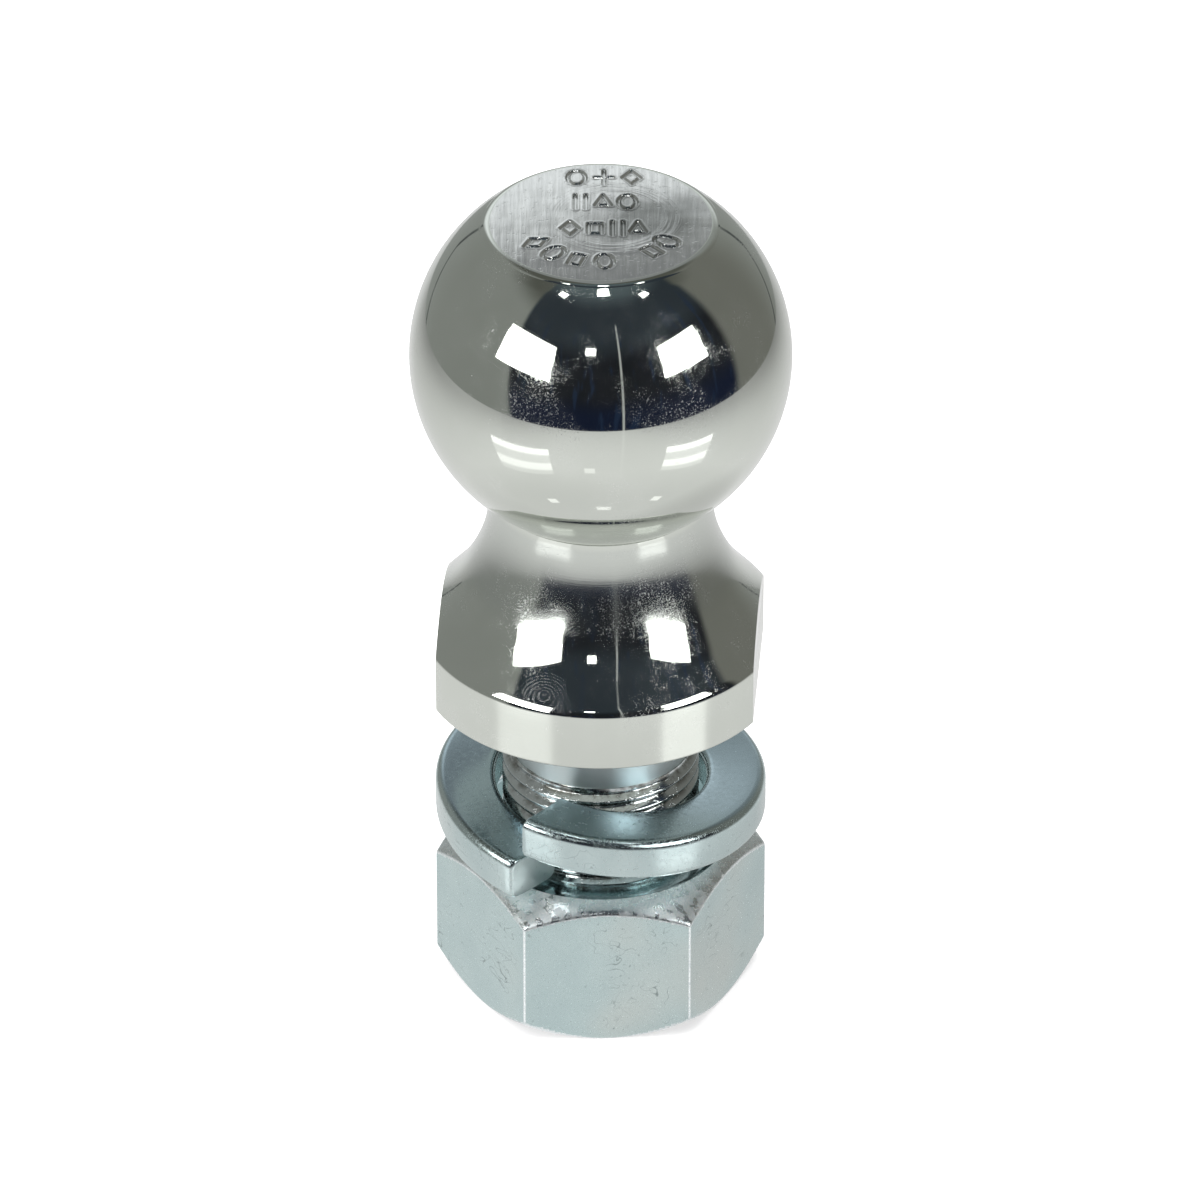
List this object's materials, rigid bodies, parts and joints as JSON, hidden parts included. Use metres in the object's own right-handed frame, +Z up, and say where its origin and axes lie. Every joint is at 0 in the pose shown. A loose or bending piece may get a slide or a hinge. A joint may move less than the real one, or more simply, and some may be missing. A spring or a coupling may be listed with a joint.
{
  "type": "trailer hitch ball",
  "caption": "Chromed ball on a flared pedestal with two wrench flats and a threaded shank, carrying a split spring washer and a hexagon nut.",
  "frame": {"origin": "centre of the nut's bottom face, on the shank's axis", "axes": "+Z up along the shank's axis from the nut to the ball; +X nearly square to one of the pedestal's wrench flats, which are turned 4.1 degrees about +Z; the washer's split is at about 245 degrees"},
  "size_m": [0.0476, 0.0476, 0.1104],
  "materials": {
    "chrome_plate": "polished chrome with fine scuffs; the top flat is ground",
    "zinc_washer": "bright zinc plate, satin, on coiled spring steel",
    "zinc_nut": "bright zinc plate, satin facets, rough chamfers"
  },
  "bodies": {
    "ball_shank": {"ball_shank": "chrome_plate"},
    "lock_washer": {"lock_washer": "zinc_washer"},
    "hex_nut": {"hex_nut": "zinc_nut"}
  },
  "joints": [
    {"name": "washer_travel", "type": "slide", "parent": "ball_shank", "child": "lock_washer", "axis": [0, 0, 1], "range_m": [-0.021, 0.0103]},
    {"name": "nut_spin", "type": "hinge", "parent": "lock_washer", "child": "hex_nut", "pos_m": [0, 0, 0.01], "axis": [0, 0, 1], "range_deg": [-4160, 2040]}
  ],
  "couplings": [
    {"joint": "washer_travel", "follows": "nut_spin", "m_per_rad": 0.00028875}
  ]
}
